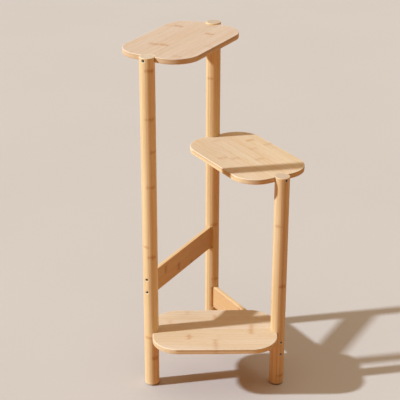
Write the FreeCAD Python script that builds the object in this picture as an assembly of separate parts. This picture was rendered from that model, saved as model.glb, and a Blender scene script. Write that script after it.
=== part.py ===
import FreeCAD, Part
import math
import os

# Tiered plant stand in bamboo: three round posts, three equal shelves that climb
# round them like stairs, and two brace boards, all held by screws through the posts.
#
# Frame: millimetres, +Z up, the floor at Z = 0. X runs along the front of the stand,
# from the tall front post to the short one, and Y runs from the front to the rear post.
# The origin is on the floor, in the middle of the stand's plan.

# Heights of the shelf faces above the floor
top_shelf_height = 762.0
middle_shelf_height = 502.0
bottom_shelf_height = 136.0

# Posts, on the corners of an equal-sided triangle
post_spacing = 278.0
post_diameter = 32.0
rear_post_rise = 3.0          # the rear post ends this far above the top shelf
post_top_round = 1.0
post_foot_chamfer = 2.0

# Shelves: rounded boards with a half-round nest at each end for the post
shelf_width = 172.0
shelf_thickness = 11.5
shelf_corner_radius = 57.0
shelf_edge_round = 1.2
shelf_end_inset = 3.0         # from the post's axis back to the shelf's straight end
nest_clearance = 0.2          # between a post and the nest round it
nest_mouth_round = 3.0

# Braces: flat boards on edge, butted against flats cut in the posts
brace_height = 53.0
brace_thickness = 9.0
brace_edge_round = 1.0
upper_brace_height = 225.0    # underside of the upper brace above the floor
lower_brace_gap = 4.5         # between the lower brace and the bottom shelf over it
brace_seat_depth = 4.0        # how deep the flat is cut into the post
brace_seat_clearance = 0.3    # above and below the brace's end

# Screws, sunk below the post's surface
screw_length = 50.0           # under the head
screw_shank_diameter = 4.5
screw_point_length = 5.0
screw_head_diameter = 6.0
screw_head_height = 4.0
screw_socket_width = 3.5      # across the flats of the hexagon
screw_socket_depth = 2.5
screw_head_recess = 0.8
screw_pair_spacing = 30.0     # between the two screws in each end of a brace
head_clearance = 0.15         # round the head in its counterbore
shank_clearance = 0.15        # round the shank in the post
pilot_clearance = 0.05        # round the shank in the board it bites
pilot_end_clearance = 1.0     # past the point of the screw

# Pads under the feet
foot_pad_thickness = 2.0
foot_pad_margin = 1.5         # inside the flat of the post's foot

# Worked out from the sizes above
post_radius = post_diameter / 2
nest_radius = post_radius + nest_clearance
shelf_length = post_spacing - 2 * shelf_end_inset
brace_seat_distance = post_radius - brace_seat_depth
brace_length = post_spacing - 2 * brace_seat_distance
lower_brace_height = bottom_shelf_height - shelf_thickness - lower_brace_gap - brace_height
foot_pad_diameter = post_diameter - 2 * (post_foot_chamfer + foot_pad_margin)

# The plan reaches from the bottom shelf's front edge to the far corner of a side shelf,
# or to the back of the rear post, and its middle lies at Y = 0.
triangle_depth = post_spacing * math.sqrt(3) / 2
side_shelf_reach = (
    triangle_depth / 2
    + (shelf_length / 2 - shelf_corner_radius) * math.sqrt(3) / 2
    + (shelf_width / 2 - shelf_corner_radius) / 2
    + shelf_corner_radius
)
rear_reach = max(side_shelf_reach, triangle_depth + post_radius)
front_reach = max(shelf_width / 2, post_radius)
front_line = (front_reach - rear_reach) / 2

Z_AXIS = FreeCAD.Vector(0, 0, 1)
X_AXIS = FreeCAD.Vector(1, 0, 0)

post_places = {
    "post_front_tall": FreeCAD.Vector(-post_spacing / 2, front_line, 0),
    "post_rear_tall": FreeCAD.Vector(0, front_line + triangle_depth, 0),
    "post_front_short": FreeCAD.Vector(post_spacing / 2, front_line, 0),
}
post_heights = {
    "post_front_tall": top_shelf_height,
    "post_rear_tall": top_shelf_height + rear_post_rise,
    "post_front_short": middle_shelf_height,
}
# Each board spans two posts; a shelf is named by its top face, a brace by its underside.
shelf_spans = {
    "shelf_top": ("post_front_tall", "post_rear_tall", top_shelf_height),
    "shelf_middle": ("post_rear_tall", "post_front_short", middle_shelf_height),
    "shelf_bottom": ("post_front_tall", "post_front_short", bottom_shelf_height),
}
brace_spans = {
    "brace_upper": ("post_front_tall", "post_rear_tall", upper_brace_height),
    "brace_lower": ("post_rear_tall", "post_front_short", lower_brace_height),
}


def heading(start, end):
    """Angle in plan of the line from one post to another, in degrees from +X."""
    step = post_places[end] - post_places[start]
    return math.degrees(math.atan2(step.y, step.x))


def turned_to(shape, angle, place, height):
    """A copy of a shape made along +X, turned in plan and lifted to its place."""
    copy = shape.copy()
    copy.rotate(FreeCAD.Vector(0, 0, 0), Z_AXIS, angle)
    copy.translate(FreeCAD.Vector(place.x, place.y, height))
    return copy


def rod_along_x(radius, start, end):
    """Round bar on the X axis from one distance to another."""
    return Part.makeCylinder(radius, end - start, FreeCAD.Vector(start, 0, 0), X_AXIS)


def horizontal_edges(shape, height):
    """The edges of a shape that lie flat at one height."""
    box = [(edge, edge.BoundBox) for edge in shape.Edges]
    return [edge for edge, b in box if abs(b.ZMin - height) < 1e-4 and abs(b.ZMax - height) < 1e-4]


def screw_heights(name):
    """Heights of the screws in each end of a board."""
    if name in shelf_spans:
        return [shelf_spans[name][2] - shelf_thickness / 2]
    middle = brace_spans[name][2] + brace_height / 2
    return [middle + screw_pair_spacing / 2, middle - screw_pair_spacing / 2]


def board_ends():
    """Every joint of a board on a post: board, post, heading from the post to the board."""
    ends = []
    for name, (start, end, _) in {**shelf_spans, **brace_spans}.items():
        ends.append((name, start, heading(start, end)))
        ends.append((name, end, heading(end, start)))
    return ends


def screw():
    """Socket screw along +X from a post's axis, its head sunk in the post's far side."""
    head_start = -post_radius + screw_head_recess
    head_end = head_start + screw_head_height
    shank_end = head_end + screw_length - screw_point_length
    head = rod_along_x(screw_head_diameter / 2, head_start, head_end)
    shank = rod_along_x(screw_shank_diameter / 2, head_end, shank_end)
    point = Part.makeCone(
        screw_shank_diameter / 2, 0, screw_point_length, FreeCAD.Vector(shank_end, 0, 0), X_AXIS
    )
    corner = screw_socket_width / math.sqrt(3)
    corners = [
        FreeCAD.Vector(
            head_start, corner * math.cos(math.radians(60 * i)), corner * math.sin(math.radians(60 * i))
        )
        for i in range(7)
    ]
    socket = Part.Face(Part.makePolygon(corners)).extrude(X_AXIS * screw_socket_depth)
    return head.fuse([shank, point]).removeSplitter().cut(socket)


def post_bore():
    """Stepped hole for one screw right through a post, along +X."""
    head_floor = -post_radius + screw_head_recess + screw_head_height
    counterbore = rod_along_x(screw_head_diameter / 2 + head_clearance, -post_diameter, head_floor)
    bore = rod_along_x(screw_shank_diameter / 2 + shank_clearance, -post_radius, post_diameter)
    return counterbore.fuse(bore)


def pilot_hole():
    """Blind hole that the screw bites in the end of a board, along +X from a post's axis."""
    depth = -post_radius + screw_head_recess + screw_head_height + screw_length + pilot_end_clearance
    return rod_along_x(screw_shank_diameter / 2 + pilot_clearance, 0, depth)


def brace_seat():
    """Block that cuts the flat for a brace's end in a post, facing +X, from Z = 0."""
    height = brace_height + 2 * brace_seat_clearance
    corner = FreeCAD.Vector(brace_seat_distance, -post_diameter, -brace_seat_clearance)
    return Part.makeBox(post_diameter, 2 * post_diameter, height, corner)


def post(name):
    """Round post with eased ends, its brace flats and its screw holes."""
    place = post_places[name]
    top = post_heights[name]
    start = FreeCAD.Vector(place.x, place.y, foot_pad_thickness)
    shape = Part.makeCylinder(post_radius, top - foot_pad_thickness, start)
    shape = shape.makeFillet(post_top_round, horizontal_edges(shape, top))
    shape = shape.makeChamfer(post_foot_chamfer, horizontal_edges(shape, foot_pad_thickness))
    cuts = []
    for board, post_name, angle in board_ends():
        if post_name != name:
            continue
        if board in brace_spans:
            cuts.append(turned_to(brace_seat(), angle, place, brace_spans[board][2]))
        for height in screw_heights(board):
            cuts.append(turned_to(post_bore(), angle, place, height))
    return shape.cut(cuts)


def rounded_board(length, width, radius, thickness):
    """Flat board centred on the Z axis, with round corners, its top face at Z = 0."""
    x = length / 2
    y = width / 2
    diagonal = radius * (1 - math.sqrt(0.5))
    edges = []
    for sx, sy in ((1, 1), (-1, 1), (-1, -1), (1, -1)):
        on_end = FreeCAD.Vector(sx * x, sy * (y - radius), 0)
        on_side = FreeCAD.Vector(sx * (x - radius), sy * y, 0)
        middle = FreeCAD.Vector(sx * (x - diagonal), sy * (y - diagonal), 0)
        pair = (on_end, middle, on_side) if sx * sy > 0 else (on_side, middle, on_end)
        if edges:
            edges.append(Part.makeLine(last, pair[0]))
        else:
            first = pair[0]
        edges.append(Part.Arc(*pair).toShape())
        last = pair[2]
    edges.append(Part.makeLine(last, first))
    return Part.Face(Part.Wire(edges)).extrude(FreeCAD.Vector(0, 0, -thickness))


def nest():
    """Half-round cut for a post at the origin, in a shelf that lies towards +X.

    The mouth's corners are rounded over: each round touches the nest's arc and
    the shelf's straight end.
    """
    reach = nest_radius + nest_mouth_round
    centre_x = shelf_end_inset + nest_mouth_round
    centre_y = math.sqrt(reach ** 2 - centre_x ** 2)
    touch = nest_radius / reach
    half_turn = (math.pi + math.atan2(-centre_y, -centre_x) % (2 * math.pi)) / 2
    outside = FreeCAD.Vector(-nest_radius, centre_y, 0)
    on_end = FreeCAD.Vector(shelf_end_inset, centre_y, 0)
    on_round = FreeCAD.Vector(
        centre_x + nest_mouth_round * math.cos(half_turn),
        centre_y + nest_mouth_round * math.sin(half_turn),
        0,
    )
    on_nest = FreeCAD.Vector(centre_x * touch, centre_y * touch, 0)
    flip = [FreeCAD.Vector(p.x, -p.y, 0) for p in (outside, on_end, on_round, on_nest)]
    outline = [
        Part.makeLine(outside, on_end),
        Part.Arc(on_end, on_round, on_nest).toShape(),
        Part.Arc(on_nest, FreeCAD.Vector(nest_radius, 0, 0), flip[3]).toShape(),
        Part.Arc(flip[3], flip[2], flip[1]).toShape(),
        Part.makeLine(flip[1], flip[0]),
        Part.makeLine(flip[0], outside),
    ]
    tool = Part.Face(Part.Wire(outline)).extrude(FreeCAD.Vector(0, 0, 3 * shelf_thickness))
    tool.translate(FreeCAD.Vector(0, 0, -2 * shelf_thickness))
    return tool


def shelf(name):
    """Shelf between two posts: a rounded board with a nest and a pilot hole at each end."""
    start, end, top = shelf_spans[name]
    board = rounded_board(shelf_length, shelf_width, shelf_corner_radius, shelf_thickness)
    rims = horizontal_edges(board, 0) + horizontal_edges(board, -shelf_thickness)
    board = board.makeFillet(shelf_edge_round, rims)
    board.translate(FreeCAD.Vector(post_spacing / 2, 0, 0))
    far_end = FreeCAD.Vector(post_spacing, 0, 0)
    pilot = pilot_hole()
    pilot.translate(FreeCAD.Vector(0, 0, -shelf_thickness / 2))
    cuts = [nest(), pilot]
    cuts += [turned_to(cut, 180, far_end, 0) for cut in (nest(), pilot)]
    return turned_to(board.cut(cuts), heading(start, end), post_places[start], top)


def brace(name):
    """Brace between two posts: a board on edge with two pilot holes in each end."""
    start, end, underside = brace_spans[name]
    corner = FreeCAD.Vector(brace_seat_distance, -brace_thickness / 2, 0)
    board = Part.makeBox(brace_length, brace_thickness, brace_height, corner)
    long_edges = [edge for edge in board.Edges if edge.BoundBox.XLength > brace_length / 2]
    board = board.makeFillet(brace_edge_round, long_edges)
    far_end = FreeCAD.Vector(post_spacing, 0, 0)
    cuts = []
    for height in screw_heights(name):
        pilot = pilot_hole()
        pilot.translate(FreeCAD.Vector(0, 0, height - underside))
        cuts += [pilot, turned_to(pilot, 180, far_end, 0)]
    return turned_to(board.cut(cuts), heading(start, end), post_places[start], underside)


def foot_pad(name):
    """Thin round pad under a post."""
    place = post_places[name]
    return Part.makeCylinder(foot_pad_diameter / 2, foot_pad_thickness, place)


def plant_stand():
    """Every piece of the stand by name."""
    pieces = {}
    for name in post_places:
        pieces[name] = post(name)
        pieces[name.replace("post", "foot_pad")] = foot_pad(name)
    for name in shelf_spans:
        pieces[name] = shelf(name)
    for name in brace_spans:
        pieces[name] = brace(name)
    for board, post_name, angle in board_ends():
        heights = screw_heights(board)
        for place, height in zip(("upper", "lower"), heights):
            name = "screw_" + board + "_" + post_name.replace("post_", "")
            if len(heights) > 1:
                name += "_" + place
            pieces[name] = turned_to(screw(), angle, post_places[post_name], height)
    return pieces


os.makedirs("parts", exist_ok=True)
for piece_name, piece in plant_stand().items():
    solids = piece.Solids
    print(piece_name, len(solids), round(piece.Volume), piece.isValid())
    solids[0].exportStep("parts/" + piece_name + ".step")
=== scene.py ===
import math

import bmesh
import bpy
import numpy as np
from mathutils import Euler, Matrix, Vector


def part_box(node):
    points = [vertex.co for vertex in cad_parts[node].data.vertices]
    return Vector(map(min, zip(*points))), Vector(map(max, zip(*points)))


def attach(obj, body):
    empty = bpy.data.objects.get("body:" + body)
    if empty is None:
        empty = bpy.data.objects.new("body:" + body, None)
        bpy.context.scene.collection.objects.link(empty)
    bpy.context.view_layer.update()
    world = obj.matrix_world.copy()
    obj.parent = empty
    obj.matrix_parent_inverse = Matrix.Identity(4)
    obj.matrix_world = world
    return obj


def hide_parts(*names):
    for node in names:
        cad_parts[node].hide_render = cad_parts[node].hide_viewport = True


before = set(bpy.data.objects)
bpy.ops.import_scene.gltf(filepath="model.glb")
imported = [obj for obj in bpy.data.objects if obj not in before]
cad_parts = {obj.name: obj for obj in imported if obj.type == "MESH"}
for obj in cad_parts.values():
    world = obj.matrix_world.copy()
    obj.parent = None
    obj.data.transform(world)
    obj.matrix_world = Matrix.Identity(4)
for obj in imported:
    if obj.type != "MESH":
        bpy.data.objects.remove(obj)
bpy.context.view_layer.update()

# ========================================
# The posts. Three round bars, turned from blanks that are glued up of bamboo strips,
# sanded and sprayed with clear satin lacquer. A stepped hole runs right through for each
# screw, and a flat is cut in the side wherever the end of a brace butts on.
# ========================================

post_names = ("post_front_tall", "post_rear_tall", "post_front_short")
post_radius = (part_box("post_rear_tall")[1].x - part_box("post_rear_tall")[0].x) / 2
post_top_round = 0.001
post_foot_chamfer = 0.002
brace_seat_depth = 0.004
brace_seat_clearance = 0.0003
screw_head_radius = 0.003
head_bore_radius = 0.00315
head_bore_depth = 0.0048
shank_bore_radius = 0.0024
head_mouth_lip = 0.0008      # width of the slope round the mouth of a head's bore
hole_lip = 0.0004            # and round the mouth of any other hole
edge_ring = 0.0015           # from an eased edge in to the next ring of faces

spans = {
    "shelf_top": ("post_front_tall", "post_rear_tall"),
    "shelf_middle": ("post_rear_tall", "post_front_short"),
    "shelf_bottom": ("post_front_tall", "post_front_short"),
    "brace_upper": ("post_front_tall", "post_rear_tall"),
    "brace_lower": ("post_rear_tall", "post_front_short"),
}


def middle_of(node):
    """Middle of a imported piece's box."""
    low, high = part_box(node)
    return (np.array(low) + np.array(high)) / 2


post_axis = {name: middle_of(name.replace("post", "foot_pad")) for name in post_names}


def heading(start, end):
    """Direction in plan from one post to another, in radians from +X."""
    step = post_axis[end] - post_axis[start]
    return math.atan2(step[1], step[0])


# Each screw's post, the heading from that post to the board it holds, and its height
screws = {}
for board, ends in spans.items():
    for post, other in (ends, ends[::-1]):
        stem = "screw_" + board + "_" + post.removeprefix("post_")
        for node in sorted(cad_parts):
            if node.startswith(stem):
                screws[node] = (post, heading(post, other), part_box(node)[1].z - screw_head_radius)


def quads(lines, columns, closed):
    """Point numbers of the four corners of every cell of a grid of lines by columns.

    The last column meets the first again where the grid is closed.
    """
    line = np.arange(lines - 1)[:, None] * columns
    column = np.arange(columns if closed else columns - 1)[None, :]
    after = (column + 1) % columns
    corners = [line + column, line + after, line + columns + after, line + columns + column]
    return np.stack(corners, -1)


def quarter_turn(steps=5):
    """Angles of an eased edge: a quarter turn in equal steps."""
    return np.radians(np.linspace(0, 90, steps + 1))


def filled(marks, step):
    """The marks in order, with even ones added wherever two lie more than a step apart."""
    marks = np.unique(np.round(marks, 7))
    runs = [
        np.linspace(start, end, math.ceil((end - start) / step) + 1)[:-1]
        for start, end in zip(marks[:-1], marks[1:])
    ]
    return np.concatenate(runs + [marks[-1:]])


def window_border(lines, columns):
    """Line and column numbers of the border of a window in a grid, once round."""
    border = [(lines[0], column) for column in columns[:-1]]
    border += [(line, columns[-1]) for line in lines[:-1]]
    border += [(lines[-1], column) for column in columns[:0:-1]]
    border += [(line, columns[0]) for line in lines[:0:-1]]
    return tuple(np.array(border).T)


def hole_skin(border, turn, mouth, inward, sunk, radius, lip, steps):
    """Patch of skin from a border round a level hole in to its mouth, and on down the hole.

    A point of the border keeps its own angle round the hole's axis. The first rings run
    straight from the border to the mouth's circle, sunk as deep as the skin lies that far
    aside. Past the sloping lip, each step is a circle of one radius at one depth.
    """
    side = np.array([-inward[1], inward[0], 0.0])
    up = np.array([0.0, 0.0, 1.0])
    circle = np.stack([np.cos(turn), np.sin(turn)], -1)
    start = np.stack([(border[:, :3] - mouth) @ side, (border[:, :3] - mouth) @ up], -1)
    rings = [border]

    def add_ring(spot, depth, edge):
        points = mouth + spot[:, :1] * side + spot[:, 1:] * up + np.outer(depth, inward)
        rings.append(np.column_stack([points, np.full(len(points), edge)]))

    for share in (0.34, 0.67, 1.0):
        spot = start * (1 - share) + circle * (radius + lip) * share
        add_ring(spot, sunk(spot[:, 0]), share)
    add_ring(circle * radius, sunk(radius * circle[:, 0]) + lip, 1.0)
    for step_radius, depth in steps:
        add_ring(circle * step_radius, np.full(len(turn), depth), 0.0)
    points = np.stack(rings)
    return points, quads(len(rings), len(turn), closed=True).reshape(-1, 4)


def post_skin(name):
    """Patches of a post's skin.

    The skin is a grid of two numbers, the height and the angle round the axis. Its reach
    from the axis is that of the turned profile at that height or, on a flat, the flat's
    distance over the cosine of the angle from its middle, if that is less. Each end of
    each screw hole leaves a window in the grid, which the hole's own patch fills.
    """
    low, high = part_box(name)
    axis = post_axis[name]
    holes = [(angle, height) for post, angle, height in screws.values() if post == name]
    flats = []
    for brace, ends in spans.items():
        if brace.startswith("brace") and name in ends:
            other = ends[1] if name == ends[0] else ends[0]
            bottom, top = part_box(brace)
            flat_bottom = bottom.z - brace_seat_clearance
            flat_top = top.z + brace_seat_clearance
            flats.append((heading(name, other), flat_bottom, flat_top))

    window_half_turn = math.radians(15)
    window_half_height = 0.0044
    flat_distance = post_radius - brace_seat_depth
    flat_half_turn = math.acos(flat_distance / post_radius)
    ledge = 1e-5
    longest_cell = 0.012

    body = [low.z + post_foot_chamfer, high.z - post_top_round]
    for _, height in holes:
        body.extend(height + window_half_height * np.linspace(-1, 1, 9))
    for _, bottom, top in flats:
        body.extend([bottom - ledge, bottom + ledge, top - ledge, top + ledge])
    body = filled(body, longest_cell)
    bend = quarter_turn()
    crown = high.z - post_top_round * (1 - np.sin(bend))
    crown_reach = post_radius - post_top_round * (1 - np.cos(bend))
    foot_reach = post_radius - post_foot_chamfer
    heights = np.concatenate([[low.z, low.z, low.z], body, crown[1:], [high.z, high.z, high.z]])
    profile = np.concatenate([
        [0, foot_reach - edge_ring, foot_reach],
        np.full(len(body), post_radius),
        crown_reach[1:],
        [foot_reach - edge_ring, post_radius / 2, 0],
    ])
    # The edge mask is 1 on the chamfer of the foot and on the round of the top
    edge = np.concatenate([[0, 0, 1, 1], np.zeros(len(body) - 2), np.ones(len(bend)), [0, 0, 0]])

    angles = [np.radians(np.arange(0, 360, 2.5))]
    angles += [[angle - flat_half_turn, angle + flat_half_turn] for angle, _, _ in flats]
    angles = np.unique(np.round(np.concatenate(angles) % math.tau, 9))
    reach = np.repeat(profile[:, None], len(angles), 1)
    for angle, bottom, top in flats:
        towards_flat = np.maximum(np.cos(angles - angle), 0.01)
        on_flat = (heights > bottom) & (heights < top)
        reach[on_flat] = np.minimum(reach[on_flat], flat_distance / towards_flat)
    grid = np.stack([
        axis[0] + reach * np.cos(angles),
        axis[1] + reach * np.sin(angles),
        np.repeat(heights[:, None], len(angles), 1),
        np.repeat(edge[:, None], len(angles), 1),
    ], -1)

    cells = quads(len(heights), len(angles), closed=True)
    kept = np.ones(cells.shape[:2], bool)
    patches = []
    for heading_to_board, height in holes:
        for is_head in (True, False):
            angle = heading_to_board + (math.pi if is_head else 0)
            offset = (angles - angle + math.pi) % math.tau - math.pi
            columns = np.argsort(offset)
            columns = columns[np.abs(offset[columns]) < window_half_turn + 1e-6]
            lines = np.flatnonzero(np.abs(heights - height) < window_half_height + 1e-6)
            kept[lines[0]:lines[-1], columns[:-1]] = False
            at_line, at_column = window_border(lines, columns)
            turn = np.arctan2(heights[at_line] - height, -post_radius * np.sin(offset[at_column]))
            outward = np.array([math.cos(angle), math.sin(angle), 0.0])
            on_flat = not is_head and any(bottom < height < top for _, bottom, top in flats)
            distance = flat_distance if on_flat else post_radius
            mouth = np.array([axis[0], axis[1], height]) + outward * distance

            def sunk(aside):
                """How deep the skin lies that far aside of the hole's axis."""
                return aside * 0 if on_flat else post_radius - np.sqrt(post_radius**2 - aside**2)

            if is_head:
                steps = [(head_bore_radius, head_bore_depth), (shank_bore_radius, head_bore_depth)]
                radius = head_bore_radius
                lip = head_mouth_lip
            else:
                steps = []
                radius = shank_bore_radius
                lip = hole_lip
            steps.append((shank_bore_radius, distance))
            border = grid[at_line, at_column]
            patches.append(hole_skin(border, turn, mouth, -outward, sunk, radius, lip, steps))
    patches.append((grid, cells[kept]))
    return patches


weld_distance = 3e-5
sharpest_smooth_edge = math.radians(32)


def make_piece(node, patches, material):
    """One closed mesh from patches of skin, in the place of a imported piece.

    A patch is its points, each with an edge mask from 0 to 1, and its faces. Points that
    meet are joined, and the faces are turned outward.
    """
    name = "finished_" + node
    points = np.concatenate([patch_points.reshape(-1, 4) for patch_points, _ in patches])
    counts = [patch_points.size // 4 for patch_points, _ in patches]
    starts = np.cumsum([0] + counts[:-1])
    faces = []
    for (_, patch_faces), start in zip(patches, starts):
        faces.extend((patch_faces + start).tolist())
    mesh = bpy.data.meshes.new(name)
    mesh.from_pydata(points[:, :3].tolist(), [], faces)
    edge = mesh.attributes.new("edge", "FLOAT", "POINT")
    edge.data.foreach_set("value", points[:, 3].astype(np.float32))
    skin = bmesh.new()
    skin.from_mesh(mesh)
    bmesh.ops.remove_doubles(skin, verts=skin.verts, dist=weld_distance)
    bmesh.ops.recalc_face_normals(skin, faces=skin.faces)
    skin.to_mesh(mesh)
    skin.free()
    mesh.shade_smooth()
    mesh.set_sharp_from_angle(angle=sharpest_smooth_edge)
    mesh.materials.append(material)
    piece = bpy.data.objects.new(name, mesh)
    bpy.context.scene.collection.objects.link(piece)
    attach(piece, "root")
    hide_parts(node)


class Bench:
    """Builds one node tree in few words. Calls that add a node give back its output sockets."""

    def __init__(self, tree):
        self.tree = tree

    def feed(self, node, inputs):
        """Fills inputs of a node: a socket is joined, anything else is written in."""
        for socket, value in inputs.items():
            if isinstance(value, bpy.types.NodeSocket):
                self.tree.links.new(value, node.inputs[socket])
            else:
                node.inputs[socket].default_value = value

    def add(self, kind, inputs, output=0, **options):
        """One node, with its options and inputs filled in."""
        node = self.tree.nodes.new(kind)
        for option, value in options.items():
            setattr(node, option, value)
        self.feed(node, inputs)
        return node.outputs[output]

    def sum(self, operation, *terms):
        """One step of arithmetic."""
        return self.add("ShaderNodeMath", dict(enumerate(terms)), operation=operation)

    def fade(self, value, start, end, low=0.0, high=1.0):
        """A soft step: low where the value is at the start, high where it is at the end."""
        inputs = {"Value": value, "From Min": start, "From Max": end, "To Min": low, "To Max": high}
        return self.add("ShaderNodeMapRange", inputs, interpolation_type="SMOOTHSTEP")

    def scaled(self, place, factors):
        """A place with each of its three coordinates multiplied."""
        return self.add("ShaderNodeVectorMath", {0: place, 1: factors}, operation="MULTIPLY")

    def noise(self, place, factors, detail, roughness=0.5):
        """Cloudy noise about 0.5, with so many waves to the metre along each coordinate."""
        squeezed = self.scaled(place, factors)
        inputs = {"Vector": squeezed, "Scale": 1.0, "Detail": detail, "Roughness": roughness}
        return self.add("ShaderNodeTexNoise", inputs)

    def mix(self, share, first, second, way="MIX"):
        """Two colours mixed by a share; they are a Mix node's inputs 6 and 7, and its output 2."""
        inputs = {0: share, 6: first, 7: second}
        return self.add("ShaderNodeMix", inputs, output=2, data_type="RGBA", blend_type=way)

    def split(self, place):
        """The three coordinates of a place."""
        return self.add("ShaderNodeSeparateXYZ", {0: place}).node.outputs

    def join(self, x, y, z):
        """A place from three coordinates."""
        return self.add("ShaderNodeCombineXYZ", {0: x, 1: y, 2: z})


def new_group(name, inputs, outputs):
    """A node group with its sockets only: the group, its bench, its inputs, its output node."""
    group = bpy.data.node_groups.new(name, "ShaderNodeTree")
    for socket, kind in inputs.items():
        group.interface.new_socket(socket, in_out="INPUT", socket_type="NodeSocket" + kind)
    for socket, kind in outputs.items():
        group.interface.new_socket(socket, in_out="OUTPUT", socket_type="NodeSocket" + kind)
    given = group.nodes.new("NodeGroupInput").outputs
    return group, Bench(group), given, group.nodes.new("NodeGroupOutput")


def edge_wear_group():
    """Mask of worn edges: the edge mask times a patchy noise, taken past a soft step."""
    group, bench, given, result = new_group(
        "edge wear",
        {"Place": "Vector", "Edge": "Float", "Amount": "Float"},
        {"Wear": "Float"},
    )
    patch = bench.noise(given["Place"], (160, 160, 160), 3.0, 0.6)
    worn = bench.sum("MULTIPLY", given["Edge"], bench.fade(patch, 0.34, 0.62, 0.45, 1.0))
    bench.feed(result, {"Wear": bench.sum("MULTIPLY", bench.fade(worn, 0.05, 0.9), given["Amount"])})
    return group


edge_wear = edge_wear_group()


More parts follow.
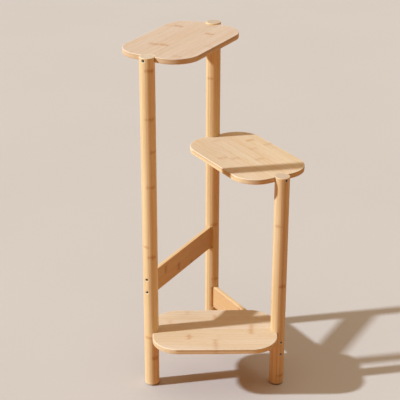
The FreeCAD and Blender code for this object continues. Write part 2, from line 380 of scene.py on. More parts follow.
def laminated_bamboo_group():
    """Colour, roughness and height of lacquered bamboo strips glued into a board or a bar.

    Place is along the grain, across the strips and through the plies, in metres, and Facing
    is the surface's normal on the same three axes. Each strip has its own shade from white
    noise on its number. The fibres are noise drawn out along the grain, at a coarse and a
    fine size. They swerve where a growth node crosses, which is a soft band, stains that run
    out along the fibres, flecks and a thin line, each a soft step of the distance. Where the
    skin faces along the grain, the cut ends of the fibre bundles show as dots. Cut sides are
    deeper in colour, partly from the lacquer and partly as painted shade, and worn edges paler.
    """
    dark_fibre_tint = (0.8, 0.6, 0.37, 1)
    glue_tint = (0.6, 0.41, 0.24, 1)
    cut_bundle_tint = (0.5, 0.37, 0.24, 1)
    cut_side_and_shade_tint = (0.85, 0.66, 0.2, 1)
    group, bench, given, result = new_group(
        "laminated bamboo",
        {
            **dict.fromkeys(("Place", "Facing"), "Vector"),
            **dict.fromkeys(("Edge", "Strip Width", "Ply Thickness", "Batch", "Variety"), "Float"),
            **dict.fromkeys(("Streaks", "Side Depth", "Dullness"), "Float"),
            **dict.fromkeys(("Growth Length", "Growth Distance", "Growth Strength"), "Float"),
            **dict.fromkeys(("Pale", "Deep", "End Colour", "Growth Colour"), "Color"),
        },
        {"Color": "Color", "Roughness": "Float", "Height": "Float"},
    )
    along, across, through = bench.split(given["Place"])

    # The strip and the ply that a point lies in, and how near it is to a glue line. The
    # strips of each ply are set over from those of the last.
    ply_count = bench.sum("DIVIDE", through, given["Ply Thickness"])
    ply = bench.sum("FLOOR", ply_count)
    strip_count = bench.sum("DIVIDE", across, given["Strip Width"])
    strip_count = bench.sum("ADD", strip_count, bench.sum("FRACT", bench.sum("MULTIPLY", ply, 0.37)))
    strip = bench.sum("FLOOR", strip_count)
    from_strip = bench.sum("MULTIPLY", bench.sum("PINGPONG", strip_count, 0.5), given["Strip Width"])
    from_ply = bench.sum("MULTIPLY", bench.sum("PINGPONG", ply_count, 0.5), given["Ply Thickness"])
    glue = bench.fade(bench.sum("MINIMUM", from_strip, from_ply), 0.0006, 0.0001)
    toward_skin = bench.sum("PINGPONG", ply_count, 1.0)
    strip_and_ply = bench.join(strip, ply, given["Batch"])
    own = bench.add("ShaderNodeTexWhiteNoise", {"Vector": strip_and_ply}, output="Color")
    own_shade, own_hue, own_start = bench.add("ShaderNodeSeparateColor", {0: own}).node.outputs

    # Fibres, which swerve beside a growth node
    distance = bench.sum("ABSOLUTE", given["Growth Distance"])
    beside_growth = bench.fade(distance, 0.02, 0.001)
    beside_growth = bench.sum("MULTIPLY", beside_growth, given["Growth Strength"])
    wave = bench.noise(bench.join(own_start, across, through), (9, 150, 150), 2.0)
    swerve = bench.sum("MULTIPLY", bench.sum("SUBTRACT", wave, 0.5), beside_growth)
    swerved = bench.sum("MULTIPLY_ADD", swerve, 0.008, across)
    started = bench.sum("MULTIPLY_ADD", own_start, 7.0, bench.sum("ADD", along, given["Batch"]))
    thread = bench.join(started, swerved, through)
    drift = bench.noise(thread, (4, 34, 34), 1.0)
    streak = bench.noise(thread, (7, 260, 260), 4.0, 0.66)
    fibre = bench.noise(thread, (55, 1700, 1700), 2.0, 0.6)
    dark_fibre = bench.fade(fibre, 0.53, 0.7)

    # Shade of the strip and of the fibres in it
    shade = bench.sum("MULTIPLY", bench.sum("SUBTRACT", own_shade, 0.5), given["Variety"])
    streaky = bench.sum("MULTIPLY", bench.fade(streak, 0.28, 0.74, -1.0, 1.0), given["Streaks"])
    shade = bench.sum("ADD", shade, streaky)
    shade = bench.sum("ADD", shade, bench.fade(drift, 0.3, 0.7, 0.3, 0.7))
    shade = bench.sum("MAXIMUM", bench.sum("MINIMUM", shade, 1.0), 0.0)
    color = bench.mix(shade, given["Pale"], given["Deep"])
    hue = bench.fade(own_hue, 0.0, 1.0, 0.497, 0.503)
    fullness = bench.fade(own_start, 0.0, 1.0, 0.95, 1.05)
    color = bench.add("ShaderNodeHueSaturation", {"Hue": hue, "Saturation": fullness, "Color": color})
    darkness = bench.sum("MULTIPLY", dark_fibre, given["Streaks"])
    color = bench.mix(darkness, color, dark_fibre_tint, "MULTIPLY")
    color = bench.mix(bench.sum("MULTIPLY", glue, 0.42), color, glue_tint, "MULTIPLY")

    # The growth node: a soft brown band round a wavy line, from which stains run out along
    # the fibres, each as far as a fine noise across the grain says, with darker flecks near
    comb = bench.noise(bench.join(ply, swerved, through), (1, 640, 640), 3.0, 0.7)
    reach = bench.sum("MULTIPLY", bench.fade(comb, 0.34, 0.7, 0.25, 1.05), given["Growth Length"])
    wavy = bench.sum("MULTIPLY_ADD", bench.sum("SUBTRACT", wave, 0.5), 0.0075, given["Growth Distance"])
    from_line = bench.sum("ABSOLUTE", wavy)
    stain = bench.fade(bench.sum("DIVIDE", from_line, reach), 1.0, 0.0)
    patch = bench.noise(bench.join(started, across, through), (45, 210, 210), 2.0)
    uneven = bench.sum("MULTIPLY_ADD", bench.sum("SUBTRACT", patch, 0.5), 0.02, from_line)
    band = bench.fade(uneven, given["Growth Length"], 0.0015)
    fleck = bench.noise(thread, (330, 1100, 1100), 2.0, 0.6)
    flecks = bench.sum("MULTIPLY", bench.fade(fleck, 0.48, 0.62), bench.fade(from_line, 0.008, 0.001))
    line = bench.fade(from_line, 0.0012, 0.0002)
    growth = bench.sum("MULTIPLY_ADD", stain, 0.32, bench.sum("MULTIPLY", band, 0.28))
    growth = bench.sum("MULTIPLY_ADD", flecks, 0.34, growth)
    growth = bench.sum("MULTIPLY_ADD", line, 0.1, growth)
    growth = bench.sum("MINIMUM", bench.sum("MULTIPLY", growth, given["Growth Strength"]), 1.0)
    color = bench.mix(growth, color, given["Growth Colour"], "MULTIPLY")

    # Cut ends of the fibre bundles, which crowd towards one face of each ply
    facing = bench.sum("ABSOLUTE", bench.split(given["Facing"])[0])
    end_grain = bench.fade(facing, 0.3, 0.92)
    cut_face = bench.scaled(bench.join(0.0, across, through), (1, 1350, 1350))
    bundle = bench.add("ShaderNodeTexVoronoi", {"Vector": cut_face, "Scale": 1.0})
    crowd = bench.fade(toward_skin, 0.0, 1.0, 0.12, 0.4)
    dots = bench.fade(bench.sum("SUBTRACT", bundle, crowd), 0.06, -0.12)
    dots = bench.sum("MULTIPLY", dots, end_grain)
    color = bench.mix(bench.sum("MULTIPLY", end_grain, 0.85), color, given["End Colour"])
    color = bench.mix(bench.sum("MULTIPLY", dots, 0.42), color, cut_bundle_tint, "MULTIPLY")

    # The cut sides of a board take the lacquer deeper than its face, most of all where the
    # fibres crowd together towards the bamboo's skin. This darkening of every upright side is
    # also painted shade.
    side = bench.fade(bench.sum("ABSOLUTE", bench.split(given["Facing"])[2]), 0.75, 0.2)
    side = bench.sum("MULTIPLY", side, bench.fade(toward_skin, 0.05, 0.95, 0.45, 1.0))
    side = bench.sum("MULTIPLY", side, given["Side Depth"])
    color = bench.mix(side, color, cut_side_and_shade_tint, "MULTIPLY")

    # Edges rubbed paler and duller by handling
    handled = {"Place": given["Place"], "Edge": given["Edge"], "Amount": 0.8}
    wear = bench.add("ShaderNodeGroup", handled, node_tree=edge_wear)
    color = bench.mix(bench.sum("MULTIPLY", wear, 0.65), color, given["Pale"])

    rough = bench.sum("MULTIPLY_ADD", bench.sum("SUBTRACT", fibre, 0.5), 0.2, given["Dullness"])
    rough = bench.sum("MULTIPLY_ADD", end_grain, 0.12, rough)
    rough = bench.sum("MULTIPLY_ADD", wear, 0.18, rough)
    height = bench.sum("MULTIPLY_ADD", streak, 0.5, bench.sum("MULTIPLY", dark_fibre, -0.35))
    height = bench.sum("MULTIPLY_ADD", glue, -0.45, height)
    height = bench.sum("MULTIPLY_ADD", growth, 0.3, height)
    height = bench.sum("MULTIPLY_ADD", dots, -0.5, height)
    bench.feed(result, {"Color": color, "Roughness": rough, "Height": height})
    return group


laminated_bamboo = laminated_bamboo_group()


def new_material(name):
    """A material with its bench and its Principled shader."""
    material = bpy.data.materials.new(name)
    material.use_nodes = True
    tree = material.node_tree
    shader = next(node for node in tree.nodes if node.type == "BSDF_PRINCIPLED")
    return material, Bench(tree), shader


def bamboo_material(name, middle, turned, growth, gloss, values):
    """Lacquered bamboo for one piece.

    The piece's own axes come from Object coordinates, centred on its middle and turned
    back, so the grain follows the piece. The growth function gives the distance from the
    nearest growth node and how strongly it shows.
    """
    material, bench, shader = new_material(name)
    coordinates = bench.tree.nodes.new("ShaderNodeTexCoord").outputs
    centred = {"Vector": coordinates["Object"], "Location": middle, "Rotation": turned}
    place = bench.add("ShaderNodeMapping", centred, vector_type="TEXTURE")
    straight = {"Vector": coordinates["Normal"], "Rotation": turned}
    distance, strength = growth(bench, place)
    inputs = {
        "Place": place,
        "Facing": bench.add("ShaderNodeMapping", straight, vector_type="TEXTURE"),
        "Edge": bench.add("ShaderNodeAttribute", {}, output="Fac", attribute_name="edge"),
        "Growth Distance": distance,
        "Growth Strength": strength,
        **values,
    }
    bamboo = bench.add("ShaderNodeGroup", inputs, node_tree=laminated_bamboo).node.outputs
    bump = {"Height": bamboo["Height"], "Strength": 0.35, "Distance": 0.0002}
    bench.feed(shader, {
        "Base Color": bamboo["Color"],
        "Roughness": bamboo["Roughness"],
        "Normal": bench.add("ShaderNodeBump", bump),
        "IOR": 1.45,
        "Specular IOR Level": gloss,
    })
    return material


# Growth nodes of each post: height, the side of the post it crosses as a heading in
# degrees, and how faint it is, in millimetres added to the distance from it. First come
# those in front, which the photograph shows, and after the break their like behind.
growth_marks = {
    "post_front_tall": (
        (0.071, -60, 0.5), (0.124, -115, 2.0), (0.321, -74, 0.4), (0.345, -128, 2.4),
        (0.483, -78, 1.6), (0.561, -48, 2.2), (0.633, -78, 1.8), (0.736, -70, 0.6),

        (0.210, 20, 1.0), (0.402, 95, 1.4), (0.688, 60, 0.8), (0.290, 150, 2.0),
        (0.590, 170, 1.2),
    ),
    "post_rear_tall": (
        (0.284, -72, 0.6), (0.640, -112, 2.2), (0.440, -125, 2.2), (0.142, -60, 1.2),

        (0.362, 10, 1.6), (0.090, 110, 1.0), (0.530, 70, 0.6), (0.700, 150, 1.8),
        (0.228, 170, 1.2),
    ),
    "post_front_short": (
        (0.024, -62, 1.0), (0.249, -66, 0.2), (0.392, -118, 2.2),

        (0.118, 30, 1.2), (0.310, 85, 0.8), (0.205, 160, 1.6), (0.440, 120, 1.0),
    ),
}
growth_step_aside = 0.009    # added to the distance from a node past its own side
post_gloss = 0.5
post_values = {
    "Strip Width": 0.02,
    "Ply Thickness": 0.0078,
    "Variety": 0.4,
    "Streaks": 0.22,
    "Side Depth": 0.0,
    "Dullness": 0.5,
    "Growth Length": 0.008,
    "Growth Colour": (0.66, 0.37, 0.2, 1),
}
# No two blanks are quite alike: the pale and deep shades of each post, and of its cut end
post_shades = (
    {"Pale": (0.925, 0.73, 0.4, 1), "Deep": (0.79, 0.56, 0.262, 1), "End Colour": (0.612, 0.478, 0.334, 1)},
    {"Pale": (0.85, 0.595, 0.262, 1), "Deep": (0.73, 0.48, 0.2, 1), "End Colour": (0.51, 0.4, 0.292, 1)},
    {"Pale": (0.83, 0.62, 0.318, 1), "Deep": (0.695, 0.458, 0.19, 1), "End Colour": (0.56, 0.42, 0.286, 1)},
)
for number, name in enumerate(post_names):
    axis_x, axis_y, _ = post_axis[name]
    # The grain runs up the post, and the plies of each blank face their own way
    upright = (0, -math.pi / 2, math.radians(20 + 40 * number))
    turned_back = Euler(upright).to_matrix().transposed()

    def nearest_growth(bench, place):
        """Distance to the nearest growth node.

        To the distance in height is added a soft step at some way round from the node's
        side of the post, so that each node crosses only its own strip.
        """
        along = bench.split(place)[0]
        least = 1.0
        for growth_height, side, faint in growth_marks[name]:
            side = math.radians(side)
            towards = turned_back @ Vector((math.cos(side), math.sin(side), 0)) / post_radius
            inputs = {0: place, 1: tuple(towards)}
            facing = bench.add("ShaderNodeVectorMath", inputs, "Value", operation="DOT_PRODUCT")
            apart = bench.sum("ABSOLUTE", bench.sum("SUBTRACT", along, growth_height))
            faded = 0.001 * faint
            aside = bench.fade(facing, 1.0, 0.55, faded, faded + growth_step_aside)
            least = bench.sum("MINIMUM", bench.sum("ADD", apart, aside), least)
        return least, 1.0

    own_values = {"Batch": 3.0 + number, **post_shades[number], **post_values}
    material = bamboo_material(
        "bamboo of " + name, (axis_x, axis_y, 0), upright, nearest_growth, post_gloss, own_values
    )
    make_piece(name, post_skin(name), material)

# ========================================
# The braces. Two straight bamboo boards on edge, planed all round with their long edges
# eased. Their square ends butt on the flats of the posts, and two screws bite each end.
# ========================================

brace_edge_round = 0.001
brace_thickness = 0.009
brace_end_ease = 0.0002
pilot_radius = 0.0023
pilot_end = 0.0398          # depth of a pilot hole from the post's axis
pilot_point = 0.0013        # height of the cone that the drill leaves


def set_down(points, turn, centre):
    """Points of a board made along X about the origin, turned in plan and moved to its place."""
    placed = points.copy()
    placed[..., 0] = centre[0] + points[..., 0] * math.cos(turn) - points[..., 1] * math.sin(turn)
    placed[..., 1] = centre[1] + points[..., 0] * math.sin(turn) + points[..., 1] * math.cos(turn)
    placed[..., 2] = centre[2] + points[..., 2]
    return placed


def brace_skin(name):
    """Patches of a brace's skin.

    A rounded oblong section is carried along the board, drawn in a hair at both ends. Each
    end face is halved at mid height, and each half runs in rings from its border to the
    pilot hole in its middle.
    """
    start, end = spans[name]
    low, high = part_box(name)
    turn = heading(start, end)
    seat_distance = post_radius - brace_seat_depth
    length = np.linalg.norm(post_axis[end] - post_axis[start]) - 2 * seat_distance
    height = high.z - low.z
    half_thick = brace_thickness / 2
    corners = []
    for index, (side, level) in enumerate(((1, -1), (1, 1), (-1, 1), (-1, -1))):
        bend = quarter_turn() + math.radians(90) * (index - 1)
        middle = (side * (half_thick - brace_edge_round), level * (height / 2 - brace_edge_round))
        corners.append(np.stack([np.cos(bend), np.sin(bend)], -1) * brace_edge_round + middle)
    rise = np.linspace(-1, 1, 17)[1:-1, None] * (height / 2 - brace_edge_round)
    right = np.hstack([np.full_like(rise, half_thick), rise])
    left = np.hstack([np.full_like(rise, -half_thick), -rise])
    section = np.concatenate([corners[0], right, corners[1], corners[2], left, corners[3]])
    at_corner = np.ones(len(corners[0]))
    on_face = np.zeros(len(rise))
    edge = np.concatenate([at_corner, on_face, at_corner, at_corner, on_face, at_corner])

    stations = np.linspace(-length / 2, length / 2, 24)
    eased = [stations[0] + brace_end_ease, stations[-1] - brace_end_ease]
    stations = np.insert(stations, [1, len(stations) - 1], eased)
    shrink = np.ones((len(stations), 1, 2))
    shrink[[0, -1]] = 1 - brace_end_ease / np.array([half_thick, height / 2])
    grid = np.empty((len(stations), len(section), 4))
    grid[..., 0] = stations[:, None]
    grid[..., 1:3] = section * shrink
    grid[..., 3] = edge
    patches = [(grid, quads(len(stations), len(section), closed=True).reshape(-1, 4))]

    depth = pilot_end - seat_distance
    steps = [(pilot_radius, depth - pilot_point), (0.0, depth)]
    middle_height = (low.z + high.z) / 2
    holes = {
        round(hole_height - middle_height, 6)
        for node, (_, _, hole_height) in screws.items()
        if node.startswith("screw_" + name)
    }

    def sunk(aside):
        """The end face is flat."""
        return aside * 0

    for station, inward in ((0, 1.0), (-1, -1.0)):
        rim = grid[station]
        seam = np.zeros((5, 4))
        seam[:, 0] = rim[0, 0]
        seam[:, 1] = np.linspace(-1, 1, 7)[1:-1] * rim[:, 1].max()
        direction = np.array([inward, 0.0, 0.0])
        for level in sorted(holes):
            half = rim[rim[:, 2] * np.sign(level) > -1e-9]
            border = np.concatenate([half, seam])
            angle = np.arctan2(border[:, 2] - level, border[:, 1] * inward)
            border = border[np.argsort(angle)]
            mouth = np.array([rim[0, 0], 0.0, level])
            patches.append(
                hole_skin(border, np.sort(angle), mouth, direction, sunk, pilot_radius, hole_lip, steps)
            )
    centre = (post_axis[start] + post_axis[end]) / 2
    centre[2] = middle_height
    return [(set_down(points, turn, centre), faces) for points, faces in patches]


brace_gloss = 0.4
brace_values = {
    "Strip Width": 0.0177,
    "Ply Thickness": 0.0045,
    "Variety": 0.5,
    "Streaks": 0.4,
    "Side Depth": 0.0,
    "Dullness": 0.56,
    "Growth Length": 0.0115,
    "Pale": (0.84, 0.58, 0.27, 1),
    "Deep": (0.755, 0.48, 0.21, 1),
    "End Colour": (0.64, 0.43, 0.23, 1),
    "Growth Colour": (0.64, 0.39, 0.25, 1),
}
# Where a growth node crosses the strip just above the middle line of each brace, from the
# brace's middle, and how much further along it crosses each strip below
brace_growth = {"brace_upper": -0.082, "brace_lower": 0.047}
growth_step = 0.057
for number, name in enumerate(brace_growth):

    def brace_growth_near(bench, place):
        """Distance along the strip to its growth node."""
        along, across, _ = bench.split(place)
        strip = bench.sum("FLOOR", bench.sum("DIVIDE", across, brace_values["Strip Width"]))
        shifted = bench.sum("MULTIPLY_ADD", strip, growth_step, along)
        return bench.sum("ABSOLUTE", bench.sum("SUBTRACT", shifted, brace_growth[name])), 1.0

    on_edge = (math.pi / 2, 0, heading(*spans[name]))
    own_values = {"Batch": 11.0 + number, **brace_values}
    material = bamboo_material(
        "bamboo of " + name, tuple(middle_of(name)), on_edge, brace_growth_near, brace_gloss, own_values
    )
    make_piece(name, brace_skin(name), material)

# ========================================
# The shelves. Three equal boards, each two plies of wide bamboo strips, cut to a rounded
# oblong with a half-round nest in each end for a post. The rim is rounded over, the mouths
# of the nests are only eased, and one screw bites the board in the middle of each nest.
# ========================================

shelf_length, shelf_width, shelf_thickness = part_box("shelf_bottom")[1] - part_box("shelf_bottom")[0]
shelf_corner_radius = 0.057
shelf_edge_round = 0.0012
nest_clearance = 0.0002
nest_radius = post_radius + nest_clearance
nest_mouth_round = 0.003
nest_edge_ease = 0.00035
post_spacing = np.linalg.norm(post_axis["post_front_short"] - post_axis["post_front_tall"])


def arc(centre_x, centre_y, radius, first, last, steps, hollow=False):
    """Points of an arc, the way out of the board at each, and 1 where the arc is hollow."""
    turn = np.radians(np.linspace(first, last, steps + 1))
    way = np.stack([np.cos(turn), np.sin(turn)], -1)
    points = np.array([centre_x, centre_y]) + radius * way
    return np.column_stack([points, -way if hollow else way, np.full(len(turn), float(hollow))])


def straight(start, end, way, steps):
    """Points of a straight stretch, its ends left out, with the way out of the board at each."""
    points = np.linspace(start, end, steps + 1)[1:-1]
    return np.column_stack([points, np.tile([*way, 0.0], (len(points), 1))])


def shelf_outline():
    """The board's outline in plan, once round: points, ways out, and a mask of the nests.

    One half runs from the middle of one long side, round a corner, over the mouth and
    through the nest, and on to the middle of the other. The other half is the same turned
    by half a turn.
    """
    reach = nest_radius + nest_mouth_round
    half_length = shelf_length / 2
    half_width = shelf_width / 2
    mouth_x = half_length - nest_mouth_round
    post_x = post_spacing / 2
    mouth_y = math.sqrt(reach**2 - (post_x - mouth_x) ** 2)
    swing = math.degrees(math.atan2(mouth_y, post_x - mouth_x))
    corner_x = half_length - shelf_corner_radius
    corner_y = half_width - shelf_corner_radius
    # The last number of each stretch is how many steps it is cut into
    half = np.concatenate([
        [[0.0, -half_width, 0.0, -1.0, 0.0]],
        straight((0, -half_width), (corner_x, -half_width), (0, -1), 12),
        arc(corner_x, -corner_y, shelf_corner_radius, -90, 0, 30),
        straight((half_length, -corner_y), (half_length, -mouth_y), (1, 0), 4),
        arc(mouth_x, -mouth_y, nest_mouth_round, 0, swing, 8),
        arc(post_x, 0, nest_radius, 180 + swing, 180 - swing, 48, hollow=True)[1:-1],
        arc(mouth_x, mouth_y, nest_mouth_round, -swing, 0, 8),
        straight((half_length, mouth_y), (half_length, corner_y), (1, 0), 4),
        arc(corner_x, corner_y, shelf_corner_radius, 0, 90, 30),
        straight((corner_x, half_width), (0, half_width), (0, 1), 12),
    ])
    back = half.copy()
    back[:, :4] *= -1
    return np.concatenate([half, back])


def shelf_skin(name):
    """Patches of a shelf's skin.

    A rim profile is carried round the outline: a round over, the wall and a round under,
    each round as wide as the edge is eased there, which changes smoothly at the nests. The
    profile starts and ends a little way in on the flat faces, which are closed by one face
    each. A window in each nest's wall holds the pilot hole.
    """
    start, end = spans[name]
    low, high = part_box(name)
    outline = shelf_outline()
    count = len(outline)
    spot, way, hollow = np.split(outline, [2, 4], axis=1)
    hollow = hollow[:, 0]
    around = np.concatenate([hollow[-4:], hollow, hollow[:4]])
    smooth = np.convolve(around, np.full(9, 1 / 9), "valid")
    ease = shelf_edge_round + (nest_edge_ease - shelf_edge_round) * np.maximum(smooth, hollow)

    # Each station of the profile: how far in from the outline, how far down, the edge mask
    over = [(ease + edge_ring, ease * 0, 0.0)]
    for bend in quarter_turn():
        over.append((ease * (1 - math.sin(bend)), ease * (1 - math.cos(bend)), 1.0))
    shares = np.linspace(0, 1, 13)[1:-1]
    wall = [(ease * 0, ease + share * (shelf_thickness - 2 * ease), 0.0) for share in shares]
    under = [(inset, shelf_thickness - depth, edge) for inset, depth, edge in over[::-1]]
    stations = over + wall + under
    grid = np.empty((len(stations), count, 4))
    for line, (inset, depth, edge) in enumerate(stations):
        grid[line, :, :2] = spot - way * inset[:, None]
        grid[line, :, 2] = shelf_thickness / 2 - depth
        grid[line, :, 3] = edge

    cells = quads(len(stations), count, closed=True)
    kept = np.ones(cells.shape[:2], bool)
    patches = []
    nest_middles = np.flatnonzero(np.abs(spot[:, 1]) < 1e-9)
    window_lines = np.arange(-4, 5)
    window_columns = np.arange(-5, 6)
    lines = len(stations) // 2 + window_lines
    for nest_middle in nest_middles:
        columns = nest_middle + window_columns
        kept[lines[0]:lines[-1], columns[:-1]] = False
        border = grid[window_border(lines, columns)]
        inward = np.array([-np.sign(spot[nest_middle, 0]), 0.0, 0.0])
        mouth = np.array([*spot[nest_middle], 0.0])
        aside = (border[:, :3] - mouth) @ np.array([0.0, inward[0], 0.0])
        turn = np.arctan2(border[:, 2], aside)
        depth = pilot_end - nest_radius
        steps = [(pilot_radius, depth - pilot_point), (0.0, depth)]

        def sunk(off):
            """The nest's wall stands proud of its middle by the rise of its arc."""
            return np.sqrt(nest_radius**2 - off**2) - nest_radius

        patches.append(hole_skin(border, turn, mouth, inward, sunk, pilot_radius, hole_lip, steps))
    patches.append((grid, cells[kept]))
    patches += [(ring, np.arange(count)[None]) for ring in (grid[0], grid[-1])]
    centre = (post_axis[start] + post_axis[end]) / 2
    centre[2] = (low.z + high.z) / 2
    turn = heading(start, end)
    return [(set_down(points, turn, centre), faces) for points, faces in patches]


strips_in_shelf = 8
shelf_gloss = 0.25
shelf_values = {
    "Strip Width": shelf_width / strips_in_shelf,
    "Ply Thickness": shelf_thickness / 2,
    "Variety": 0.36,
    "Streaks": 0.46,
    # Side depth darkens the rim, partly as painted shade
    "Side Depth": 0.62,
    "Dullness": 0.7,
    "Growth Length": 0.0125,
    "End Colour": (0.72, 0.54, 0.35, 1),
    "Growth Colour": (0.76, 0.5, 0.3, 1),
}
shelf_shades = {
    "shelf_top": {"Pale": (0.808, 0.69, 0.54, 1), "Deep": (0.734, 0.568, 0.384, 1)},
    "shelf_middle": {"Pale": (0.9, 0.77, 0.555, 1), "Deep": (0.83, 0.65, 0.389, 1)},
    "shelf_bottom": {"Pale": (0.91, 0.783, 0.568, 1), "Deep": (0.84, 0.665, 0.406, 1)},
}
# For each strip, from one long side to the other: where its growth node crosses it, from
# the middle of the board, and how strongly that shows
shelf_growth = {
    "shelf_top": (
        (-0.020, 0.25), (-0.110, 0.4), (0.060, 0.9), (0.118, 0.3),
        (-0.055, 1.0), (-0.059, 0.8), (0.080, 0.85), (0.074, 0.35),
    ),
    "shelf_middle": (
        (0.066, 0.3), (-0.010, 0.5), (0.006, 0.45), (-0.104, 0.3),
        (0.036, 0.45), (-0.022, 0.3), (-0.068, 0.75), (-0.028, 0.5),
    ),
    "shelf_bottom": (
        (0.001, 0.45), (0.000, 0.65), (-0.057, 0.75), (0.080, 0.75),
        (0.082, 0.7), (-0.098, 0.35), (0.002, 0.7), (-0.060, 0.3),
    ),
}
for number, name in enumerate(shelf_growth):

    def shelf_growth_near(bench, place):
        """Distance along the strip to its growth node.

        The strip's number picks one stop of a stepped ramp. The stop's red is where the
        node is, as a share of the board's length, and its green is how strongly it shows.
        """
        along, across, _ = bench.split(place)
        strip = bench.sum("FLOOR", bench.sum("DIVIDE", across, shelf_values["Strip Width"]))
        share = bench.sum("DIVIDE", bench.sum("ADD", strip, strips_in_shelf / 2 + 0.5), strips_in_shelf)
        ramp = bench.add("ShaderNodeValToRGB", {"Fac": share}).node
        ramp.color_ramp.interpolation = "CONSTANT"
        while len(ramp.color_ramp.elements) < strips_in_shelf:
            ramp.color_ramp.elements.new(0.5)
        for index, (growth_place, strength) in enumerate(shelf_growth[name]):
            stop = ramp.color_ramp.elements[index]
            stop.position = index / strips_in_shelf
            stop.color = (0.5 + growth_place / shelf_length, strength, 0, 1)
        red, green, _ = bench.add("ShaderNodeSeparateColor", {0: ramp.outputs["Color"]}).node.outputs
        crossing = bench.sum("MULTIPLY", bench.sum("SUBTRACT", red, 0.5), shelf_length)
        return bench.sum("SUBTRACT", along, crossing), green

    lying = (0, 0, heading(*spans[name]))
    own_values = {"Batch": 21.0 + number, **shelf_shades[name], **shelf_values}
    material = bamboo_material(
        "bamboo of " + name, tuple(middle_of(name)), lying, shelf_growth_near, shelf_gloss, own_values
    )
    make_piece(name, shelf_skin(name), material)

# ========================================
# The screws. Fourteen socket screws of zinc-plated steel, each sunk below the skin of a
# post on the side away from its board, with a dish round the hexagon in its head, a plain
# shank in the post and a coarse thread that bites the end of the board.
# ========================================

screw_length = 0.05          # under the head
screw_head_height = 0.004
screw_head_recess = 0.0008
screw_head_round = 0.0004
screw_head_ease = 0.0002
screw_shank_radius = 0.00225
screw_shank_ease = 0.0001
screw_core_radius = 0.0016
screw_point_length = 0.005
screw_thread_length = 0.024
screw_pitch = 0.0022
screw_socket_width = 0.0035  # across the flats of the hexagon
screw_socket_depth = 0.0025
screw_socket_point = 0.0005  # height of the cone that the drill leaves under the hexagon
screw_dish_radius = 0.0025   # the countersink round the hexagon
screw_dish_depth = 0.0006


def screw_skin(name):
    """Patch of a screw's skin, along X from its post's axis.

    The skin is a grid of stations along the screw and angles round it. In the socket the
    reach is that of a hexagon: half its width over the cosine of the angle from the
    nearest flat's middle. From the hexagon's mouth a cone opens to the dish's circle. On
    the thread the reach is the core plus a crest that falls away with the distance from a
    helix, and both shrink to nothing at the point.
    """
    post, turn, height = screws[name]
    angles = np.radians(np.arange(0, 360, 7.5))
    hexagon = screw_socket_width / 2 / np.cos((angles + math.pi / 6) % (math.pi / 3) - math.pi / 6)
    top = -post_radius + screw_head_recess
    socket_floor = top + screw_socket_depth
    under = top + screw_head_height
    tip = under + screw_length
    thread_start = tip - screw_thread_length
    thin_shank = screw_shank_radius - screw_shank_ease
    # Each station: how far along, how far out, the edge mask
    stations = [
        (socket_floor + screw_socket_point, 0.0, 0.0),
        (socket_floor, hexagon * 0.96, 0.0),
        (socket_floor - screw_shank_ease, hexagon, 0.0),
        (top + screw_dish_depth, hexagon, 0.6),
        (top, screw_dish_radius, 1.0),
    ]
    for bend in quarter_turn(4):
        reach = screw_head_radius - screw_head_round * (1 - math.sin(bend))
        stations.append((top + screw_head_round * (1 - math.cos(bend)), reach, 1.0))
    stations += [
        (under - screw_head_ease, screw_head_radius, 0.4),
        (under, screw_head_radius - screw_head_ease, 0.4),
        (under, screw_shank_radius + screw_shank_ease, 0.0),
        (under + 3 * screw_shank_ease, thin_shank, 0.0),
        (thread_start - 6 * screw_shank_ease, thin_shank, 0.0),
    ]
    crest_height = screw_shank_radius - screw_core_radius
    for along in np.linspace(thread_start, tip, math.ceil(screw_thread_length / screw_pitch * 9)):
        phase = (along / screw_pitch - angles / math.tau) % 1
        crest = (1 - np.abs(2 * phase - 1)) ** 1.6
        taper = min(1.0, (tip - along) / screw_point_length) ** 0.8
        grown = min(1.0, (along - thread_start) / screw_pitch)
        stations.append((along, taper * (screw_core_radius + crest_height * crest * grown), 0.0))
    grid = np.empty((len(stations), len(angles), 4))
    for line, (along, reach, edge) in enumerate(stations):
        grid[line] = np.column_stack([
            np.full_like(angles, along),
            reach * np.cos(angles),
            reach * np.sin(angles),
            np.full_like(angles, edge),
        ])
    centre = np.array([post_axis[post][0], post_axis[post][1], height])
    faces = quads(len(stations), len(angles), closed=True).reshape(-1, 4)
    return [(set_down(grid, turn, centre), faces)]


def screw_material():
    """Zinc plate: dull brownish grey with a faint mottle, painted shade in the socket, a paler worn rim
    that is also a painted highlight.
    """
    material, bench, shader = new_material("zinc plated steel")
    place = bench.tree.nodes.new("ShaderNodeTexCoord").outputs["Object"]
    mottle = bench.noise(place, (900, 900, 900), 3.0, 0.6)
    scratch = bench.noise(place, (2500, 2500, 6000), 2.0, 0.6)
    edge = bench.add("ShaderNodeAttribute", {}, output="Fac", attribute_name="edge")
    handled = {"Place": place, "Edge": edge, "Amount": 0.5}
    wear = bench.add("ShaderNodeGroup", handled, node_tree=edge_wear)
    plate_and_painted_light = bench.mix(bench.fade(mottle, 0.35, 0.65), (0.22, 0.175, 0.13, 1), (0.14, 0.11, 0.08, 1))
    # Painted shade: near black where the edge mask is low, in the socket and on the hidden shank and thread
    plate_and_painted_light = bench.mix(bench.fade(edge, 0.7, 0.2), plate_and_painted_light, (0.03, 0.026, 0.022, 1))
    # Paler at the rim, partly worn plating and partly a painted highlight
    plate_and_painted_light = bench.mix(wear, plate_and_painted_light, (0.66, 0.54, 0.4, 1))
    rough = bench.fade(scratch, 0.3, 0.7, 0.26, 0.42)
    bump = {"Height": scratch, "Strength": 0.2, "Distance": 0.00005}
    bench.feed(shader, {
        "Base Color": plate_and_painted_light,
        "Roughness": bench.sum("MULTIPLY_ADD", wear, -0.08, rough),
        "Normal": bench.add("ShaderNodeBump", bump),
        "Metallic": 1.0,
    })
    return material


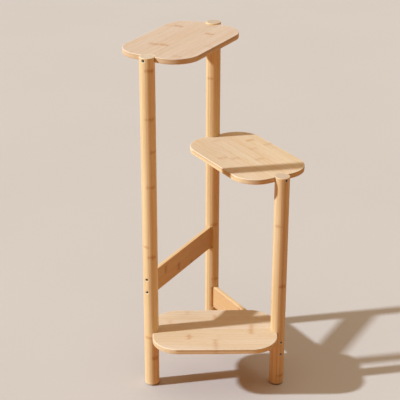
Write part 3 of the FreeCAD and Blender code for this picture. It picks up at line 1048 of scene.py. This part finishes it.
zinc_plated_steel = screw_material()
for node in screws:
    make_piece(node, screw_skin(node), zinc_plated_steel)

# ========================================
# The foot pads. A thin round pad of dark rubber under each post, stamped from sheet and
# stuck on, its edge pressed out a little by the weight of the stand.
# ========================================

pad_edge_round = 0.0005
pad_edge_ring = 0.0008       # from the eased edge in to the next ring of faces
pad_bulge = 0.00025


def foot_pad_skin(name):
    """Patch of a pad's skin: a rounded profile turned about the post's axis."""
    low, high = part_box(name)
    radius = (high.x - low.x) / 2
    thickness = high.z - low.z
    share = np.linspace(0, 1, 9)
    wall = radius - pad_bulge * (2 * share - 1) ** 2
    wall_height = pad_edge_round + share * (thickness - 2 * pad_edge_round)
    bend = quarter_turn(4)[:-1]
    corner_reach = wall[0] - pad_edge_round * (1 - np.sin(bend))
    corner_height = pad_edge_round * (1 - np.cos(bend))
    inner = wall[0] - pad_edge_round - pad_edge_ring
    reach = np.concatenate([[0, inner], corner_reach, wall, corner_reach[::-1], [inner, 0]])
    upper = thickness - np.concatenate([corner_height[::-1], [0, 0]])
    rise = np.concatenate([[0, 0], corner_height, wall_height, upper])
    eased = np.ones(len(bend))
    edge = np.concatenate([[0, 0], eased, np.zeros(len(wall)), eased, [0, 0]])
    angles = np.radians(np.arange(0, 360, 5))
    grid = np.stack([
        (low.x + high.x) / 2 + reach[:, None] * np.cos(angles),
        (low.y + high.y) / 2 + reach[:, None] * np.sin(angles),
        np.repeat(low.z + rise[:, None], len(angles), 1),
        np.repeat(edge[:, None], len(angles), 1),
    ], -1)
    return [(grid, quads(len(reach), len(angles), closed=True).reshape(-1, 4))]


def foot_pad_material():
    """Dark rubber: a fine pebbled skin, with pale dust caught on its edges."""
    material, bench, shader = new_material("dark rubber")
    place = bench.tree.nodes.new("ShaderNodeTexCoord").outputs["Object"]
    pebbles = {"Vector": bench.scaled(place, (2600, 2600, 2600)), "Scale": 1.0}
    pebble = bench.add("ShaderNodeTexVoronoi", pebbles)
    cloud = bench.noise(place, (120, 120, 120), 3.0, 0.6)
    edge = bench.add("ShaderNodeAttribute", {}, output="Fac", attribute_name="edge")
    dusty = {"Place": place, "Edge": edge, "Amount": 0.35}
    dust = bench.add("ShaderNodeGroup", dusty, node_tree=edge_wear)
    rubber = bench.mix(bench.fade(cloud, 0.3, 0.7), (0.04, 0.031, 0.026, 1), (0.062, 0.05, 0.042, 1))
    bump = {"Height": pebble, "Strength": 0.5, "Distance": 0.00008}
    bench.feed(shader, {
        "Base Color": bench.mix(dust, rubber, (0.2, 0.17, 0.14, 1)),
        "Roughness": bench.fade(cloud, 0.3, 0.7, 0.72, 0.88),
        "Normal": bench.add("ShaderNodeBump", bump),
    })
    return material


dark_rubber = foot_pad_material()
for post_name in post_names:
    pad = post_name.replace("post", "foot_pad")
    make_piece(pad, foot_pad_skin(pad), dark_rubber)

# ========================================
# The studio: a wide plain pale floor and a plain pale room. A soft cool sun stands to the
# left, a weak wide one overhead, and the room and the floor throw back warm light, redder
# from low down and deeper from in front.
# ========================================

floor_half = 9.0
floor_mesh = bpy.data.meshes.new("studio_floor")
floor_corners = [(x * floor_half, y * floor_half, 0) for x, y in ((-1, -1), (1, -1), (1, 1), (-1, 1))]
floor_mesh.from_pydata(floor_corners, [], [(0, 1, 2, 3)])
floor = bpy.data.objects.new("studio_floor", floor_mesh)
bpy.context.scene.collection.objects.link(floor)


def seen_directly(bench):
    """1 where the camera looks straight at a surface, or at its reflection or through glass."""
    ray = bench.tree.nodes.new("ShaderNodeLightPath").outputs
    seen = bench.sum("MAXIMUM", ray["Is Camera Ray"], ray["Is Glossy Ray"])
    return bench.sum("MAXIMUM", seen, ray["Is Transmission Ray"])


floor_material, bench, shader = new_material("pale studio floor")
floor_place = bench.tree.nodes.new("ShaderNodeTexCoord").outputs["Object"]
cloud = bench.noise(floor_place, (1.5, 1.5, 1.5), 3.0)
floor_seen = bench.mix(bench.fade(cloud, 0.3, 0.7), (0.567, 0.504, 0.421, 1), (0.579, 0.516, 0.431, 1))
floor_glow = (0.52, 0.25, 0.107, 1)
bench.feed(shader, {
    "Base Color": bench.mix(seen_directly(bench), floor_glow, floor_seen),
    "Roughness": 0.85,
})
floor_mesh.materials.append(floor_material)


def add_sun(name, level, spread, color, way):
    """A far lamp in the direction of way, as many degrees across as its spread."""
    lamp = bpy.data.lights.new(name, "SUN")
    lamp.energy = level
    lamp.angle = math.radians(spread)
    lamp.color = color
    sun = bpy.data.objects.new(name, lamp)
    sun.rotation_euler = way.to_track_quat("Z", "Y").to_euler()
    sun.location = way * 3
    bpy.context.scene.collection.objects.link(sun)


key_heading = math.radians(190)
key_elevation = math.radians(33.3)
key_way = Vector((
    math.cos(key_heading) * math.cos(key_elevation),
    math.sin(key_heading) * math.cos(key_elevation),
    math.sin(key_elevation),
))
add_sun("key", level=4.93, spread=2.4, color=(0.6825, 0.806, 1.0), way=key_way)
add_sun("overhead", level=0.97, spread=70, color=(1.0, 0.86, 0.76), way=Vector((0, 0, 1)))

room = bpy.data.worlds.new("pale room")
room.use_nodes = True
room.node_tree.nodes.clear()
bench = Bench(room.node_tree)
room_low = (0.786, 0.382, 0.164, 1)
room_high = (0.978, 0.77, 0.53, 1)
room_front_tint = (0.85, 0.66, 0.4, 1)
room_level = 0.31
room_seen = (0.73, 0.65, 0.56, 1)
_, depth, height = bench.split(bench.tree.nodes.new("ShaderNodeTexCoord").outputs["Generated"])
room_color = bench.mix(bench.fade(height, 0.05, 0.8), room_low, room_high)
room_color = bench.mix(bench.fade(depth, 0.0, -0.8), room_color, room_front_tint, "MULTIPLY")
room_shader = bench.add("ShaderNodeMixShader", {
    0: seen_directly(bench),
    1: bench.add("ShaderNodeBackground", {"Color": room_color, "Strength": room_level}),
    2: bench.add("ShaderNodeBackground", {"Color": room_seen, "Strength": 1.0}),
})
bench.feed(bench.tree.nodes.new("ShaderNodeOutputWorld"), {"Surface": room_shader})
bpy.context.scene.world = room

# The camera stands in front, a little left of the middle, and looks down on the stand
camera_place = (-0.07092, -2.39288, 1.47994)
camera_heading = math.radians(-0.9486)
camera_pitch = math.radians(24.1025)
camera_roll = math.radians(0.1113)
camera_lens = 108.388
camera_data = bpy.data.cameras.new("camera")
camera_data.lens = camera_lens
camera_data.sensor_width = 36
camera = bpy.data.objects.new("camera", camera_data)
camera.matrix_world = (
    Matrix.Translation(camera_place)
    @ Matrix.Rotation(camera_heading, 4, "Z")
    @ Matrix.Rotation(math.pi / 2 - camera_pitch, 4, "X")
    @ Matrix.Rotation(camera_roll, 4, "Z")
)
bpy.context.scene.collection.objects.link(camera)
bpy.context.scene.camera = camera
bpy.context.scene.view_settings.view_transform = "Standard"
